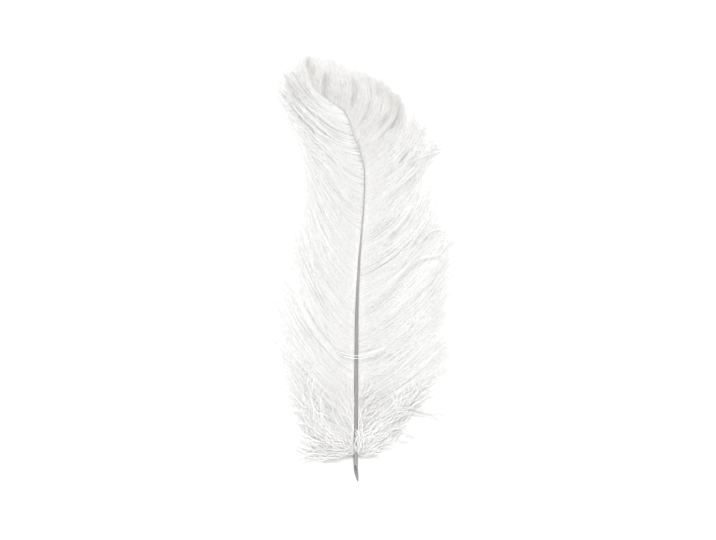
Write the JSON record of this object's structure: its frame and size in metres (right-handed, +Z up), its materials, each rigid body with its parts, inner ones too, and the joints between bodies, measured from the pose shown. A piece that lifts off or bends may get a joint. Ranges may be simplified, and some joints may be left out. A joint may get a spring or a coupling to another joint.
{
  "type": "ostrich feather",
  "caption": "White ostrich plume lying flat: a tapering horny shaft with a slant-cut hollow quill, a soft vane of long loose barbs on either side, a bent tip, and down at the foot.",
  "frame": {"origin": "on the surface that the feather lies on, under the middle of the feather's own length and width", "axes": "+Y from the cut quill to the tip, +Z up from the surface to the feather's back, +X to the right with the quill towards the viewer"},
  "size_m": [0.1232, 0.2982, 0.0161],
  "materials": {
    "shaft_horn": "satin grey horn, slightly see-through at its edges",
    "barbs_white": "soft matt white barbs with a faint silky sheen",
    "down_white": "matt white down, finer and looser than the vane"
  },
  "bodies": {
    "root": {"shaft": "shaft_horn", "vane_left": "barbs_white", "vane_right": "barbs_white", "down_left": "down_white", "down_right": "down_white"}
  },
  "joints": []
}
